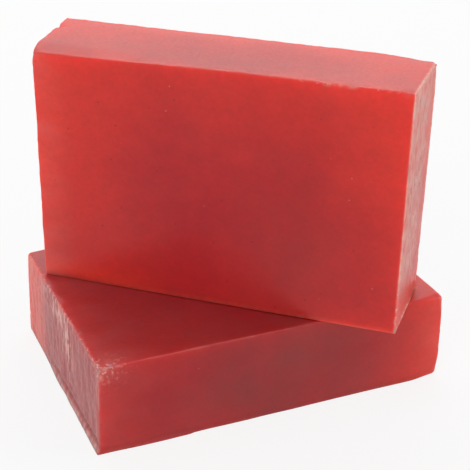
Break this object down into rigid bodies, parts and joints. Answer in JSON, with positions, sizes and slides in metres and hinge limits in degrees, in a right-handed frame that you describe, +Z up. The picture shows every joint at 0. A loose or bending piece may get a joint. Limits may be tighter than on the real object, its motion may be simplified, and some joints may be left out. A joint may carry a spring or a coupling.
{
  "type": "clay bar",
  "caption": "Rectangular red detailing clay bars, the upper standing on its long edge across the lower, for pulling bonded grime off car paint.",
  "frame": {"origin": "centre of the broad face that the lower bar rests on", "axes": "+X along the lower bar's length, +Y across its width, away from the long side that the upper bar overhangs, +Z up"},
  "size_m": [0.09, 0.0766, 0.084],
  "materials": {
    "clay": "satin"
  },
  "bodies": {
    "lower_bar": {"lower_bar": "clay"},
    "upper_bar": {"upper_bar": "clay"}
  },
  "joints": [
    {"name": "lift_off", "type": "slide", "parent": "lower_bar", "child": "upper_bar", "axis": [0, 0, 1], "range_m": [0, 0.1]}
  ]
}
